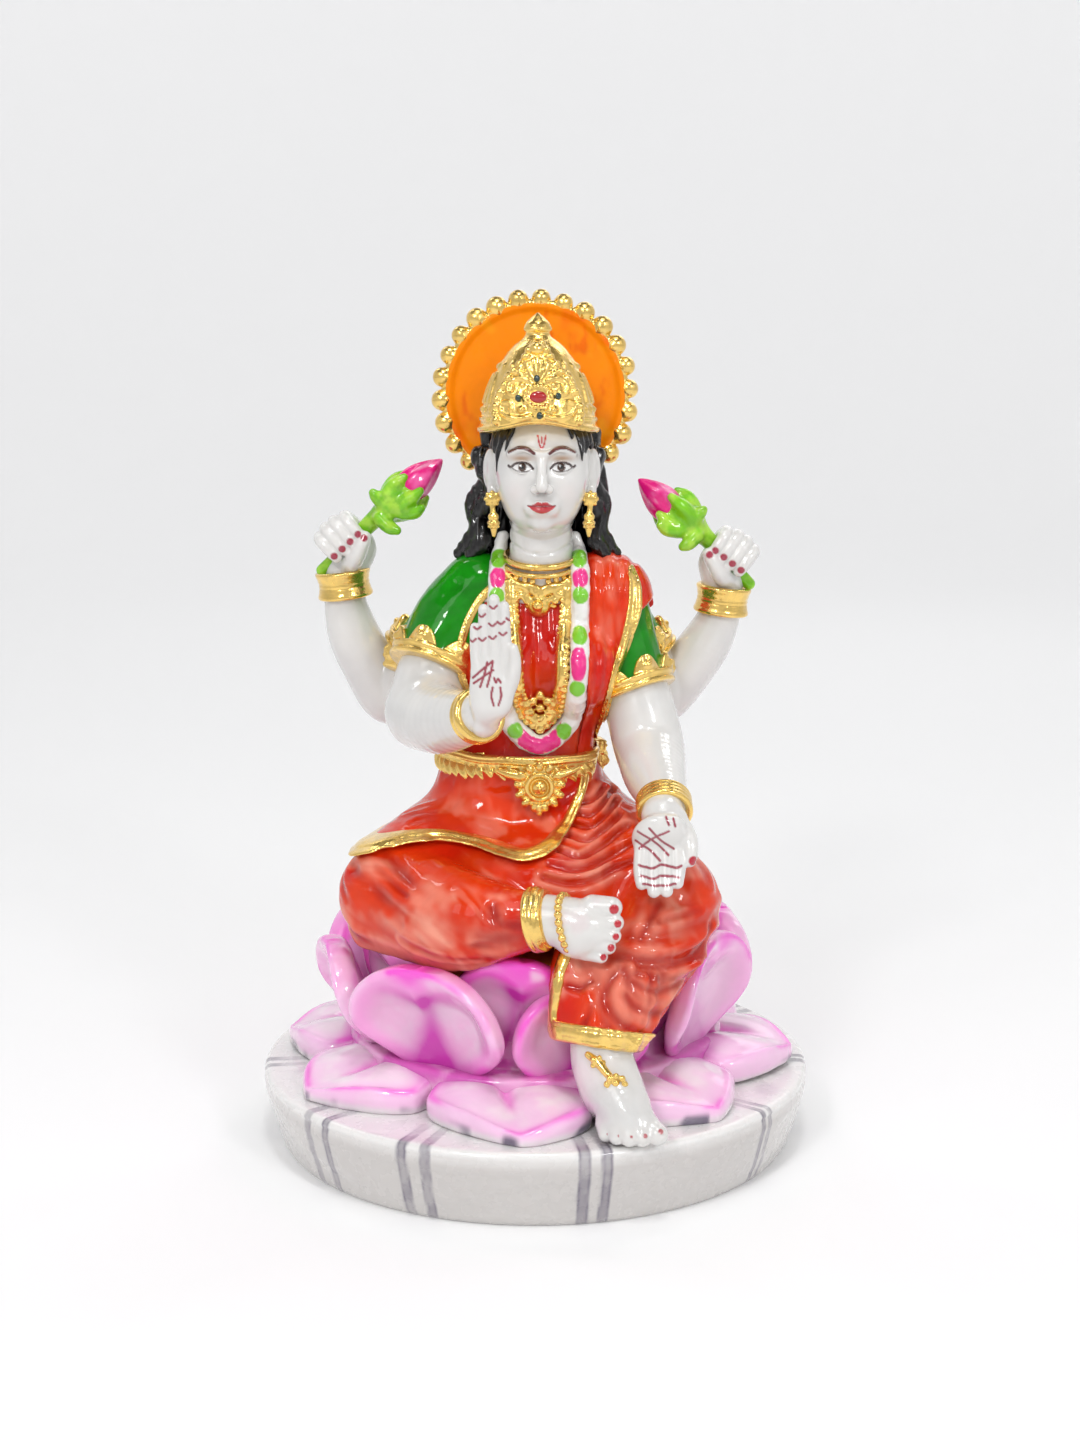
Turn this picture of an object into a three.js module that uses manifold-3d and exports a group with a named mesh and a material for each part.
// Seated four-armed goddess statue on a round plinth and a two-tier lotus, cast in marble-dust resin.
// Frame: millimetres, +Z up, +X to the right of somebody facing the statue, the statue faces -Y.
// Origin: centre of the plinth's underside.
//
// Every sculpted element is its own closed solid. Neighbours are cut back from each other by GAP,
// so each one can be lifted away on its own.
import * as THREE from "three";
import { mergeVertices, mergeGeometries } from "three/addons/utils/BufferGeometryUtils.js";
import Module from "manifold-3d";

const wasm = await Module();
wasm.setup();

// ---------------------------------------------------------------- driving dimensions, mm
const GAP = 0.3; // clearance between neighbouring solids
const BASE_R = 65; // plinth radius at its upper edge
const BASE_FOOT_R = 61; // plinth radius where it meets the table
const BASE_H = 18; // plinth height
const SEAT_R = 37; // lotus receptacle radius
const SEAT_TOP = 46; // height of the seat
const PETALS = 8; // petals in each ring
const LOWER_FIRST = -8; // degrees from -Y of the first lower petal, towards +X
const HALO = [0, 14, 175]; // centre of the halo disc
const HALO_R = 21.2; // orange disc radius
const BEADS = 26; // gold beads round the halo
const BEAD_RING_R = 22.2;
const BEAD_R = 2.75;
const HEAD = [1.5, -6, 157.5];

// ---------------------------------------------------------------- colours
const COL = {
  marble: ["#eeebe8", 0.18, 0], skin: ["#f1eeec", 0.14, 0], petal: ["#f0a9dc", 0.2, 0], petalTop: ["#ee86d6", 0.2, 0],
  core: ["#d98a4e", 0.3, 0], red: ["#d8321c", 0.14, 0], green: ["#1f8a1c", 0.14, 0], gold: ["#c99a2e", 0.25, 0.8],
  orange: ["#ff7a08", 0.25, 0], black: ["#17120f", 0.2, 0], pink: ["#ff1f8f", 0.15, 0], lime: ["#5fc816", 0.18, 0],
  garland: ["#f7f3f4", 0.3, 0],
};

// ---------------------------------------------------------------- helpers
const V = (x, y, z) => new THREE.Vector3(x, y, z);
const rad = (d) => (d * Math.PI) / 180;

// A three.js geometry as a solid for joining and cutting.
function solid(geometry) {
  const g = geometry.index ? geometry.toNonIndexed() : geometry.clone();
  for (const k of Object.keys(g.attributes)) if (k !== "position") g.deleteAttribute(k);
  const m = mergeVertices(g, 1e-4);
  const made = new wasm.Manifold(
    new wasm.Mesh({ numProp: 3, vertProperties: new Float32Array(m.attributes.position.array), triVerts: new Uint32Array(m.index.array) }),
  );
  return made.volume() < 0 ? solid(flipped(m)) : made;
}
function flipped(g) {
  const i = g.index.array.slice();
  for (let k = 0; k < i.length; k += 3) [i[k + 1], i[k + 2]] = [i[k + 2], i[k + 1]];
  const f = g.clone();
  f.setIndex(new THREE.BufferAttribute(i, 1));
  return f;
}
const join = (...s) => s.reduce((a, b) => a.add(b));

// An ellipsoid, turned by Euler degrees.
function ball(c, r, seg = 9, rings = 6, rot = [0, 0, 0]) {
  return (g) => {
    const s = new THREE.SphereGeometry(1, seg, rings);
    s.rotateX(Math.PI / 2);
    s.scale(r[0] + g, r[1] + g, r[2] + g);
    s.applyMatrix4(new THREE.Matrix4().makeRotationFromEuler(new THREE.Euler(rad(rot[0]), rad(rot[1]), rad(rot[2]))));
    s.translate(c[0], c[1], c[2]);
    return solid(s);
  };
}

// A limb: a sphere's skin drawn out along a path. Each point is [x, y, z, half-width across ref, half-depth along ref].
// ref is the direction that the depth is measured towards.
function limb(points, seg = 9, ref = [0, 1, 0], perSpan = 2, capRings = 2) {
  return (g) => {
    const P = points.map((p) => V(p[0], p[1], p[2]));
    const curve = P.length > 2 ? new THREE.CatmullRomCurve3(P, false, "centripetal") : new THREE.LineCurve3(P[0], P[1]);
    const spans = (P.length - 1) * (P.length > 2 ? perSpan : 1);
    const rows = []; // [centre, tangent, a, b, squeeze]
    const size = (t) => {
      const x = t * (P.length - 1), i = Math.min(P.length - 2, Math.floor(x)), f = x - i;
      const e = f * f * (3 - 2 * f);
      return [3, 4].map((k) => points[i][k] * (1 - e) + points[i + 1][k] * e + g);
    };
    const at = (t) => (P.length > 2 ? curve.getPoint(t) : P[0].clone().lerp(P[1], t));
    const tan = (t) => curve.getTangent(Math.min(0.999, Math.max(0.001, t))).normalize();
    for (let k = capRings - 1; k > 0; k--) {
      const a = (k / capRings) * (Math.PI / 2), [ra, rb] = size(0);
      rows.push([at(0).addScaledVector(tan(0), -Math.sin(a) * Math.min(ra, rb)), tan(0), ra * Math.cos(a), rb * Math.cos(a)]);
    }
    for (let k = 0; k <= spans; k++) {
      const t = k / spans, [ra, rb] = size(t);
      rows.push([at(t), tan(t), ra, rb]);
    }
    for (let k = 1; k < capRings; k++) {
      const a = (k / capRings) * (Math.PI / 2), [ra, rb] = size(1);
      rows.push([at(1).addScaledVector(tan(1), Math.sin(a) * Math.min(ra, rb)), tan(1), ra * Math.cos(a), rb * Math.cos(a)]);
    }
    const [a0, b0] = size(0), [a1, b1] = size(1);
    const first = at(0).addScaledVector(tan(0), -Math.min(a0, b0)), last = at(1).addScaledVector(tan(1), Math.min(a1, b1));
    const s = new THREE.SphereGeometry(1, seg, rows.length + 1);
    const pos = s.attributes.position, W = seg + 1, R = V(...ref);
    for (let i = 0; i < pos.count; i++) {
      const row = Math.floor(i / W), col = i % W;
      if (row === 0 || row > rows.length) {
        const q = row === 0 ? first : last;
        pos.setXYZ(i, q.x, q.y, q.z);
        continue;
      }
      const [c, t, ra, rb] = rows[row - 1];
      const side = V().crossVectors(t, R).normalize(), dep = V().crossVectors(side, t).normalize();
      const u = ((col % seg) / seg) * Math.PI * 2;
      const q = c.clone().addScaledVector(side, Math.cos(u) * ra).addScaledVector(dep, Math.sin(u) * rb);
      pos.setXYZ(i, q.x, q.y, q.z);
    }
    return solid(s);
  };
}

// A solid of revolution about an axis through c. The profile is [radius, height] pairs, the ends on the axis.
function turned(profile, c, axis = [0, 0, 1], seg = 24, sx = 1, sy = 1) {
  return (g) => {
    const cx = profile.map((p) => p[1]), mid = (Math.min(...cx) + Math.max(...cx)) / 2;
    const pts = profile.map(([r, h]) => new THREE.Vector2(r < 1e-6 ? 0 : r + g, h + (g ? Math.sign(h - mid) * g : 0)));
    const l = new THREE.LatheGeometry(pts, seg);
    l.rotateX(Math.PI / 2);
    l.scale(sx, sy, 1);
    l.applyQuaternion(new THREE.Quaternion().setFromUnitVectors(V(0, 0, 1), V(...axis).normalize()));
    l.translate(c[0], c[1], c[2]);
    return solid(l);
  };
}

// A closed ring round an axis: outer and inner half-widths, and its height.
function ring(c, axis, outer, inner, h, seg = 18, squash = 1) {
  return (g) => {
    const o = outer + g, i = inner - g, t = h / 2 + g;
    const pts = [[i, -t], [o - 0.5, -t], [o, 0], [o - 0.5, t], [i, t], [i, -t]].map((p) => new THREE.Vector2(p[0], p[1]));
    const l = new THREE.LatheGeometry(pts, seg);
    l.rotateX(Math.PI / 2);
    l.scale(1, squash, 1);
    l.applyQuaternion(new THREE.Quaternion().setFromUnitVectors(V(0, 0, 1), V(...axis).normalize()));
    l.translate(c[0], c[1], c[2]);
    return solid(l);
  };
}

// A round cord along a path.
function cord(points, r, steps, sides = 8) {
  return (g) => {
    const c = new THREE.CatmullRomCurve3(points.map((p) => V(...p)), false, "centripetal");
    const s = new THREE.Shape();
    for (let k = 0; k < sides; k++) {
      const a = (k / sides) * Math.PI * 2, x = Math.cos(a) * (r + g), y = Math.sin(a) * (r + g);
      k ? s.lineTo(x, y) : s.moveTo(x, y);
    }
    s.closePath();
    return solid(new THREE.ExtrudeGeometry(s, { extrudePath: c, steps, bevelEnabled: false, curveSegments: 1 }));
  };
}

// A lotus petal: a box bent into a leaf. az is its direction from -Y towards +X, in degrees.
// across u runs -1..1, along v runs 0 at the root to 1 at the tip, w is -0.5 on the outer or lower face.
function petal(az, place) {
  return (g) => {
    const b = new THREE.BoxGeometry(1, 1, 1, 4, 1, 4);
    const pos = b.attributes.position, a = rad(az);
    const out = V(Math.sin(a), -Math.cos(a), 0), side = V(Math.cos(a), Math.sin(a), 0);
    for (let i = 0; i < pos.count; i++) {
      const [x, r, z] = place(pos.getX(i) * 2, pos.getZ(i) + 0.5, pos.getY(i), g);
      const q = out.clone().multiplyScalar(r).addScaledVector(side, x);
      pos.setXYZ(i, q.x, q.y, z);
    }
    return solid(b);
  };
}
const leaf = (v, root, tip) => (root + (1 - root) * Math.sin(Math.min(1, v * 1.3) * Math.PI / 2)) * (1 - tip * v ** 4);
// lying petal: a wedge on the plinth, thinner towards its pointed tip
const lying = (u, v, w, g) => {
  const vv = v + g * 0.05 * (v > 0.5 ? 1 : -1);
  return [u * (19.5 * leaf(v, 0.6, 0.2) + g), 42 + 19.6 * vv * (1 - 0.3 * u * u * v), w > 0 ? 28 - 5.6 * v + 0.8 * u * u + g : BASE_H + GAP - g];
};
// standing petal: a cupped leaf that leans out and rolls over at its rim
const standing = (r0, r1, z0, z1, half) => (u, v, w, g) => {
  const t = w * (2.8 + 2 * g), lean = (r1 - r0) * v ** 1.5;
  return [u * (half * leaf(v, 0.5, 0.22) + g), r0 + lean - 3.4 * u * u + t * 0.9, z0 + (z1 - z0) * v * (1 - 0.3 * u * u * v) - t * 0.4 * v + (v === 1 ? g : v === 0 ? -g : 0)];
};

// ---------------------------------------------------------------- shapes
const S = {};
S.base_plinth = turned([[0, 0], [BASE_FOOT_R - 0.8, 0], [BASE_FOOT_R, 0.8], [BASE_R - 0.6, 10], [BASE_R, BASE_H - 1.4], [BASE_R - 1.3, BASE_H], [0, BASE_H]], [0, 0, 0], [0, 0, 1], 40);
S.lotus_receptacle = (g) => {
  const seat = turned([[0, BASE_H + GAP], [SEAT_R, BASE_H + GAP], [SEAT_R, 40], [SEAT_R - 3, SEAT_TOP], [0, SEAT_TOP]], [0, 0, 0], [0, 0, 1], 24)(g);
  const heart = Array.from({ length: PETALS }, (_, k) => petal(LOWER_FIRST + (k * 360) / PETALS, standing(35.5, 45.5, 24, 53, 15))(g));
  return join(seat, ...heart);
};
for (let k = 0; k < PETALS; k++) {
  const az = LOWER_FIRST + (k * 360) / PETALS;
  S["lower_petal_" + (k + 1)] = petal(az, lying);
  S["upper_petal_" + (k + 1)] = petal(az + 180 / PETALS, standing(41, 53.2, 23.5, 50, 18.5));
}

// lower garment over both legs
const skirtParts = [
  ball([-2, 6, 64], [32, 25, 21], 14, 8),
  limb([[-8, 4, 68, 17, 15], [-29, -14, 62, 15, 15]], 10, [0, 0, 1]),
  limb([[-30, -17, 59.8, 12.7, 13], [-17, -33, 59.8, 10.8, 10.8], [-7, -40, 61.2, 8, 8.2], [-0.4, -42.5, 62.5, 6.2, 6.3]], 10, [0, 0, 1]),
  limb([[9, 2, 69, 16, 14], [32, -22, 63, 12, 12]], 10, [0, 0, 1]),
  limb([[31.5, -25, 60.4, 11.3, 11], [24.5, -35, 51.5, 11, 10], [18, -41.5, 43.8, 9.6, 9], [14.6, -45.2, 39, 8.6, 7.8]], 10, [0, 1, 0]),
  ball([6, -22, 60], [24, 17, 13], 10, 6),
];
S.sari_skirt = (g) => join(...skirtParts.map((f) => f(g)));
S.bodice = limb([[-3, 1, 80, 19.5, 14.5], [-3, 0, 92, 17, 12.5], [0.5, -2, 108, 20.5, 15], [1.5, 0, 122, 20.5, 13], [1.5, 2, 130, 17.5, 9.5]], 14, [0, 1, 0], 2, 3);
S.shoulder_drape = limb([[17, 11, 112, 8.5, 2.8], [18, 9.5, 126, 8.5, 2.8], [17.5, 1.5, 136.5, 8, 2.6], [17.5, -10.5, 126, 8, 2.6], [15, -17.5, 111, 7.5, 2.6], [10.5, -14, 95, 6, 2.4]], 8, [0, 1, 0.001], 2, 2);
S.head = (g) => join(
  ball(HEAD, [11.6, 12.6, 14.6], 14, 10)(g),
  ball([HEAD[0], HEAD[1] - 3.2, 151.5], [8.8, 9.6, 7.4], 10, 6)(g),
  limb([[1.3, -1.5, 133, 11, 8], [1.4, -3.5, 140, 7.6, 7.2], [1.4, -3.5, 148, 7, 7]], 12)(g),
  ball([-11.6, -4.5, 158], [1.7, 2.2, 4.6], 7, 5, [0, -8, 0])(g),
  ball([14.6, -4.5, 158], [1.7, 2.2, 4.6], 7, 5, [0, 8, 0])(g));
S.hair = (g) => join(
  ball([1.5, -0.5, 160], [13.6, 13, 13.8], 12, 7)(g),
  limb([[1.5, 7, 156, 11, 6], [1.5, 10.5, 138, 12.5, 5], [1.5, 13.5, 118, 10, 4]], 8)(g),
  limb([[-11, 1.5, 164, 2.6, 3], [-13.4, -0.6, 153, 3, 3], [-16.2, -2, 141.5, 3.6, 3.4]], 7)(g),
  limb([[14, 1.5, 164, 2.6, 3], [16.2, -0.6, 153, 3, 3], [18.8, -1.5, 142, 3.6, 3.4]], 7)(g));
S.crown = turned([[0, 163], [13.5, 165.8], [14.1, 169], [13.2, 174.6], [7.8, 183], [2, 187.6], [3.1, 189.8], [0, 192.2]], [0.8, -5.5, 0], [0, 0, 1], 16, 1, 0.98);
S.crown_front_plate = (g) => {
  const s = new THREE.Shape();
  const w = 10.6 + g, h = 19 + g;
  s.moveTo(-w, -g);
  s.lineTo(w, -g);
  s.lineTo(w * 0.94, h * 0.34);
  s.lineTo(w * 0.55, h * 0.72);
  s.lineTo(0, h);
  s.lineTo(-w * 0.55, h * 0.72);
  s.lineTo(-w * 0.94, h * 0.34);
  s.closePath();
  const e = new THREE.ExtrudeGeometry(s, { depth: 7 + 2 * g, steps: 1, bevelEnabled: false });
  const pos = e.attributes.position; // bend it round the crown
  for (let i = 0; i < pos.count; i++) {
    const x = pos.getX(i), y = pos.getY(i), z = pos.getZ(i);
    const k = y / 19;
    pos.setXYZ(i, x + 0.8, -20.6 - z + 5.6 + 0.035 * x * x + 9.2 * k * k, y + 168.2);
  }
  return join(solid(e), ball([0.7, -21.4, 174.4], [2, 1.3, 1.4], 8, 5)(g)); // with the oval stone in its middle
};
S.halo_disc = turned([[0, -1.3], [HALO_R - 1.2, -1.3], [HALO_R, -0.8], [HALO_R, 0.9], [HALO_R - 1.2, 1.5], [0, 1.5]], HALO, [0, 1, 0], 36);
S.halo_bead_rim = (g) => {
  // the row of beads as one scalloped band
  const shape = new THREE.Shape(), hole = new THREE.Path(), per = 2;
  for (let k = 0; k < BEADS * per; k++) {
    const bead = Math.floor(k / per), f = (k % per) / per; // each bead bulges out between two notches
    const a = ((bead + f - 0.5 + 0.18) / BEADS) * Math.PI * 2;
    const r = BEAD_RING_R + g + (f === 0 ? 1.1 : f === 0.5 ? BEAD_R : 2.3);
    k ? shape.lineTo(Math.sin(a) * r, Math.cos(a) * r) : shape.moveTo(Math.sin(a) * r, Math.cos(a) * r);
  }
  for (let k = 0; k < 36; k++) {
    const a = -((k + 0.5) / 36) * Math.PI * 2, r = HALO_R + GAP + 0.1 - g;
    k ? hole.lineTo(Math.sin(a) * r, Math.cos(a) * r) : hole.moveTo(Math.sin(a) * r, Math.cos(a) * r);
  }
  shape.holes.push(hole);
  const e = new THREE.ExtrudeGeometry(shape, { depth: 4 + 2 * g, steps: 1, bevelEnabled: false });
  e.rotateX(Math.PI / 2);
  e.translate(HALO[0], HALO[1] + 2 + g, HALO[2]);
  return solid(e);
};
S.right_earring = (g) => join(ball([-10.1, -9.2, 151.6], [1.1, 1.1, 1.4], 7, 5)(g), limb([[-10, -9.6, 150, 0.8, 0.8], [-9.7, -10.2, 142.5, 1.3, 1.3]], 6)(g));
S.left_earring = (g) => join(ball([12.9, -9.2, 151.6], [1.1, 1.1, 1.4], 7, 5)(g), limb([[12.8, -9.6, 150, 0.8, 0.8], [12.5, -10.2, 142.5, 1.3, 1.3]], 6)(g));

// rear pair of arms, raised, each holding a lotus bud
S.right_rear_arm = (g) => join(
  limb([[-25.4, 12, 114.4, 7.4, 6.8], [-35.2, 15.1, 103.4, 7.2, 7]], 10)(g),
  limb([[-35.4, 15.1, 103.4, 7.3, 7], [-40.8, 14.8, 112, 6.6, 6.5], [-44, 14.1, 119, 6.1, 6], [-45.8, 13, 127.4, 5, 5]], 10)(g));
S.left_rear_arm = (g) => join(
  limb([[22, 12, 115, 7.4, 6.8], [31.2, 15.1, 103.4, 7.1, 7]], 10)(g),
  limb([[31.4, 15.1, 103.4, 7.2, 7], [36.6, 14.9, 109.6, 6.6, 6.5], [41.4, 14.1, 116.6, 6, 6], [44.6, 13, 124, 5, 5]], 10)(g));
S.right_rear_hand = (g) => join(
  limb([[-46, 13, 131, 5, 4.6], [-44, 12, 138, 5.8, 4.6]], 9)(g),
  limb([[-46.5, 10, 143, 2.4, 2.4], [-38, 9, 143.5, 2.6, 2.6]], 7, [0, 0, 1])(g));
S.left_rear_hand = (g) => join(
  limb([[45, 13, 128, 5, 4.6], [44.6, 12, 134.5, 5.8, 4.6]], 9)(g),
  limb([[47.5, 10, 138, 2.4, 2.4], [40.5, 9, 140.5, 2.6, 2.6]], 7, [0, 0, 1])(g));
S.right_bud_calyx = (g) => join(
  limb([[-49.4, 12.2, 136.4, 1.7, 1.7], [-41, 12, 143.4, 1.9, 1.9], [-37, 11.6, 146.6, 2, 2]], 7)(g),
  limb([[-36.4, 11.5, 147, 3.6, 3.4], [-30.5, 11, 152, 4.8, 4.6]], 9)(g));
S.left_bud_calyx = (g) => join(
  limb([[49.8, 12.2, 133.6, 1.7, 1.7], [43, 12, 139.4, 1.9, 1.9], [39.6, 11.6, 142.4, 2, 2]], 7)(g),
  limb([[39, 11.5, 142.8, 3.6, 3.4], [33, 11, 147.6, 4.8, 4.6]], 9)(g));
S.right_lotus_bud = limb([[-28.6, 10.8, 153.4, 3.8, 3.6], [-25.4, 10.4, 156.4, 3.2, 3], [-23.4, 10.2, 158.6, 1.2, 1.2]], 8);
S.left_lotus_bud = limb([[31, 10.8, 149.2, 3.8, 3.6], [27.8, 10.4, 151.8, 3, 2.8], [25.8, 10.2, 153.8, 1.3, 1.3]], 8);
S.right_rear_bracelet = ring([-45.8, 13, 130.2], [-0.12, -0.06, 1], 6.3, 3, 5.6, 14);
S.left_rear_bracelet = ring([44.8, 13, 126.6], [0.12, -0.06, 1], 6.3, 3, 5.8, 14);

// front pair of arms; each sleeve covers both shoulders of its side
S.right_sleeve = (g) => join(
  limb([[-13, 2, 129, 9.6, 9.6], [-18.8, -0.5, 122.5, 9.8, 9.6], [-23, -4, 113.4, 9.4, 9.2]], 11)(g),
  limb([[-15, 9, 129, 8.5, 7.5], [-29, 12.5, 112.5, 8.6, 7.2]], 9)(g));
S.left_sleeve = (g) => join(
  limb([[17, 2, 128, 9, 9.2], [19.6, 0, 117.5, 8.5, 8.8], [22.4, -1.9, 107.4, 8.3, 8.5]], 11)(g),
  limb([[16, 9, 128, 8.5, 7.5], [25, 12.5, 113, 8, 7.2]], 9)(g));
S.right_front_arm = (g) => join(
  limb([[-23.4, -4.4, 111, 8.2, 8.2], [-25.6, -10, 103.4, 8.6, 8.8]], 11)(g),
  limb([[-25.6, -10, 103.2, 9, 9], [-18.4, -22, 103.4, 7.6, 7.6], [-11.8, -32.5, 106, 5, 5]], 11, [0, 0, 1])(g));
S.left_front_arm = (g) => join(
  limb([[22.6, -2, 107, 7.8, 8], [26.4, -7.3, 94.7, 8.2, 8.2]], 11)(g),
  limb([[26.4, -7.3, 94.7, 8.2, 8.2], [27.4, -17, 89.6, 7.1, 7], [28.5, -29, 85.6, 5, 4.9]], 11)(g));
S.right_sleeve_trim = ring([-23.2, -4.2, 112.2], [-0.42, -0.4, -0.82], 10.4, 6.5, 3.6, 16);
S.left_sleeve_trim = ring([22.8, -2.2, 106.4], [0.34, -0.3, -0.89], 9.7, 6.5, 3.8, 16);
S.right_front_hand = (g) => join(
  limb([[-10.2, -36.6, 108.6, 4.7, 3.6], [-9.4, -38, 118.5, 5.1, 3], [-9.2, -39, 124, 4.8, 2.5], [-8.8, -39.4, 131.4, 2.7, 1.9]], 10)(g),
  limb([[-6.4, -38.5, 114, 2.1, 2.2], [-4.5, -39.4, 121.4, 1.3, 1.4]], 7)(g));
S.left_front_hand = (g) => join(
  limb([[28.3, -33.8, 83.6, 4.9, 3.6], [27.5, -38, 78.5, 6.6, 3.2], [27.1, -42, 72.6, 5.9, 2.6], [26.7, -43.6, 69.4, 4.5, 2]], 10)(g),
  limb([[31.3, -36, 81.6, 2.4, 2.4], [32.9, -40.2, 76.4, 1.5, 1.5]], 7)(g));
S.right_front_bangle = ring([-12.2, -32.4, 106], [0.45, -0.82, 0.3], 6.2, 3, 3.2, 14);
S.left_front_bangles = ring([28.6, -30, 85.2], [0, -0.88, -0.4], 6.4, 3, 4.4, 14);

// jewellery and garland on the chest
S.choker = (g) => join(ring([1.3, -3.2, 137], [0, -0.34, 0.94], 9.7, 6, 3.6, 16)(g), limb([[1.3, -11.4, 134, 5.2, 1.6], [1.1, -14.6, 130, 3.4, 1.7], [0.9, -16.2, 127.2, 2.4, 1.7]], 8)(g));
S.long_necklace = cord([[-5.4, -12.6, 130.4], [-4.9, -15.6, 121], [-4.1, -17.6, 112], [-2.8, -16.9, 104.4], [1.1, -16, 100.4], [4.8, -16.9, 104.4], [6, -17.6, 112], [6.6, -15.6, 121], [7.1, -12.6, 130.4]], 1.5, 16, 6);
S.flower_garland = cord([[-7, 3.4, 142.4], [-8.2, -5.6, 140.4], [-8.7, -13.4, 131.6], [-9, -17.2, 120], [-8.3, -19, 109], [-5.3, -18, 100], [1, -17.4, 95.4], [7.5, -18, 100], [9.6, -19.4, 109], [10.2, -18.2, 120], [10.3, -13.8, 131.6], [10.2, -5.6, 140.4], [9.2, 3.4, 142.4]], 2.4, 24, 6);
S.waist_belt = ring([-3, 0.2, 91.4], [0.02, -0.1, 1], 19.8, 12, 5, 20, 0.78);
S.belt_buckle = ball([1, -16, 86.6], [5.6, 2.6, 5.8], 12, 6);
S.drape_border = cord([[24.4, -4.2, 134.2], [24.6, -9.8, 128], [22.8, -15.4, 118.4], [19, -17.8, 109], [16.2, -16.8, 102], [14.4, -15.2, 96.8]], 1.6, 14, 6);
S.skirt_border = cord([[-41.4, -14, 71.6], [-38, -17, 74], [-31, -21, 76], [-21, -28.6, 75.8], [-9, -34.4, 73.6], [1.4, -36, 73.8], [7.6, -32, 78], [10.6, -25, 83], [12, -18, 88]], 1.6, 18, 6);

// feet and their gold
S.right_ankle_cuff = ring([0.8, -43, 62.6], [0.93, -0.3, 0.2], 7.6, 3.4, 3.4, 14);
S.right_foot = (g) => join( // with its anklet
  limb([[3.8, -43.9, 62.5, 5.8, 5.8], [9, -45.4, 62, 6, 5.6], [16.4, -47.8, 61.4, 6.6, 3.2]], 10, [0, -0.3, 1])(g),
  ring([7, -44.9, 62.4], [0.93, -0.28, 0.2], 7.1, 4, 1.9, 12)(g));
S.left_hem_band = ring([14.4, -45.8, 37], [-0.13, -0.3, -0.94], 10.2, 5, 3.4, 14, 0.84);
S.left_foot = limb([[14.6, -46.6, 32.6, 6, 6], [17, -50, 27, 6, 5.6], [21.4, -55.4, 23.4, 6, 4.2], [25, -59.4, 21.6, 5, 2.9]], 10, [0, 0.6, 0.8]);

// ---------------------------------------------------------------- who gives way to whom
// Each piece keeps GAP to every piece named before it, and is cut back where it would meet one.
const ORDER = [
  "base_plinth", "sari_skirt", "bodice", "head", "right_sleeve", "left_sleeve",
  "right_front_arm", "left_front_arm", "right_rear_arm", "left_rear_arm", "shoulder_drape",
  "crown", "hair", "halo_disc", "halo_bead_rim", "crown_front_plate",
  "right_earring", "left_earring", "right_sleeve_trim", "left_sleeve_trim",
  "right_front_bangle", "left_front_bangles", "right_rear_bracelet", "left_rear_bracelet",
  "right_bud_calyx", "left_bud_calyx", "right_rear_hand", "left_rear_hand", "right_lotus_bud", "left_lotus_bud",
  "right_front_hand", "left_front_hand", "choker", "flower_garland", "long_necklace",
  "waist_belt", "belt_buckle", "drape_border", "skirt_border",
  "right_ankle_cuff", "right_foot", "left_hem_band", "left_foot", 
];
for (let k = 1; k <= PETALS; k++) ORDER.push("upper_petal_" + k);
ORDER.push("lotus_receptacle");
for (let k = 1; k <= PETALS; k++) ORDER.push("lower_petal_" + k);

const GROUPS = {
  marble: ["base_plinth"],
  core: ["lotus_receptacle"],
  petal: Object.keys(S).filter((n) => n.startsWith("lower_petal")),
  petalTop: Object.keys(S).filter((n) => n.startsWith("upper_petal")),
  red: ["sari_skirt", "bodice", "shoulder_drape"],
  green: ["right_sleeve", "left_sleeve"],
  skin: ["head", "right_front_arm", "left_front_arm", "right_rear_arm", "left_rear_arm", "right_front_hand", "left_front_hand", "right_rear_hand", "left_rear_hand", "right_foot", "left_foot"],
  black: ["hair"],
  orange: ["halo_disc"],
  pink: ["right_lotus_bud", "left_lotus_bud"],
  lime: ["right_bud_calyx", "left_bud_calyx"],
  garland: ["flower_garland"],
};
const colourOf = (n) => Object.keys(GROUPS).find((c) => GROUPS[c].includes(n)) || "gold";

const grown = new Map(), plain = new Map();
const made = (n, g) => {
  const m = g ? grown : plain;
  if (!m.has(n)) {
    try { m.set(n, S[n](g)); } catch (e) { throw new Error("shape " + n + ": " + (e.message || e)); }
  }
  return m.get(n);
};
const group = new THREE.Group();
for (const [at, name] of ORDER.entries()) {
  let s = made(name, 0);
  for (const earlier of ORDER.slice(0, at)) s = s.subtract(made(earlier, GAP));
  // what a cut leaves beside the main piece is trimmed off
  const parts = s.decompose().filter((p) => p.volume() > 0).sort((a, b) => b.volume() - a.volume());
  if (!parts.length) throw new Error(name + " was cut away");
  const m = parts[0].getMesh(), n = m.numProp, v = new Float32Array(m.numVert * 3);
  for (let i = 0; i < m.numVert; i++) v.set(m.vertProperties.subarray(i * n, i * n + 3), i * 3);
  const g = new THREE.BufferGeometry().setAttribute("position", new THREE.BufferAttribute(v, 3)).setIndex(new THREE.BufferAttribute(new Uint32Array(m.triVerts), 1));
  const [colour, roughness, metalness] = COL[colourOf(name)];
  const mesh = new THREE.Mesh(g, new THREE.MeshStandardMaterial({ color: colour, roughness, metalness }));
  mesh.name = name;
  group.add(mesh);
}

export default group;
